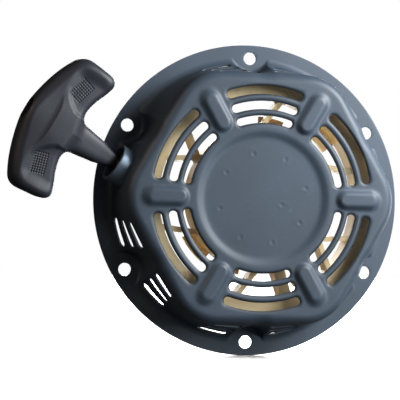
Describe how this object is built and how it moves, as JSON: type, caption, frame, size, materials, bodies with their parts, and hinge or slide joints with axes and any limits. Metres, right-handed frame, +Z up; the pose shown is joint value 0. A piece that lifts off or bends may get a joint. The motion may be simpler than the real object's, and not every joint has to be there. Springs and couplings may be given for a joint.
{
  "type": "recoil starter",
  "caption": "Hand-pull recoil starter for a small engine: slotted steel housing with bolt flange, spring-returned reel with pawls, rope guide and T-grip handle.",
  "frame": {"origin": "centre of the flange's bolt circle, on the flange's rear mounting plane", "axes": "+Y along the starter's axis from its face towards the engine, +Z up, +X to the right seen from the face"},
  "size_m": [0.2845, 0.0506, 0.222],
  "materials": {
    "painted_steel": "satin dark slate blue-grey paint",
    "zinc_steel": "zinc plated",
    "spring_steel": "oiled spring steel",
    "cream_nylon": "moulded nylon",
    "brown_nylon": "moulded nylon",
    "charcoal_plastic": "matte, fine grain",
    "rope": "braided polyester"
  },
  "bodies": {
    "housing": {"housing": "painted_steel", "rope_guide_collar": "painted_steel", "rope_guide_bush": "brown_nylon", "post_bracket": "zinc_steel", "spindle": "zinc_steel", "thrust_washer": "zinc_steel", "centre_screw": "zinc_steel", "rope_lead": "rope"},
    "reel": {"reel": "cream_nylon", "reel_bush": "brown_nylon", "recoil_spring": "spring_steel", "rope_turns": "rope", "rope_outer_turn": "rope", "reel_knot": "rope", "pawl_pins": "zinc_steel", "pawl_spring_1": "spring_steel", "pawl_spring_2": "spring_steel"},
    "ratchet_guide": {"ratchet_guide": "zinc_steel", "friction_spring": "spring_steel"},
    "pawl_1": {"pawl_1": "zinc_steel"},
    "pawl_2": {"pawl_2": "zinc_steel"},
    "handle": {"handle": "charcoal_plastic", "handle_washer": "zinc_steel", "handle_knot": "rope", "rope_in_handle": "rope", "rope_draw": "rope"}
  },
  "joints": [
    {"name": "reel_spin", "type": "hinge", "parent": "housing", "child": "reel", "pos_m": [0, 0, 0], "axis": [0, 1, 0], "range_deg": [0, 900], "stiffness_Nm_per_rad": 0.06, "springref_deg": -458.37, "deforming": ["recoil_spring", "rope_outer_turn", "rope_turns"]},
    {"name": "handle_pull", "type": "slide", "parent": "housing", "child": "handle", "axis": [-0.858, -0.188, 0.478], "range_m": [0, 1.2], "deforming": ["rope_draw"]},
    {"name": "guide_turn", "type": "hinge", "parent": "reel", "child": "ratchet_guide", "pos_m": [0, 0, 0], "axis": [0, -1, 0], "range_deg": [0, 30]},
    {"name": "pawl_1_swing", "type": "hinge", "parent": "reel", "child": "pawl_1", "pos_m": [0, 0, 0.02], "axis": [0, -1, 0], "range_deg": [0, 22]},
    {"name": "pawl_2_swing", "type": "hinge", "parent": "reel", "child": "pawl_2", "pos_m": [0, 0, -0.02], "axis": [0, -1, 0], "range_deg": [0, 22]}
  ],
  "couplings": [
    {"joint": "handle_pull", "follows": "reel_spin", "m_per_rad": 0.076},
    {"joint": "pawl_1_swing", "follows": "guide_turn", "ratio": 0.73333},
    {"joint": "pawl_2_swing", "follows": "guide_turn", "ratio": 0.73333}
  ]
}
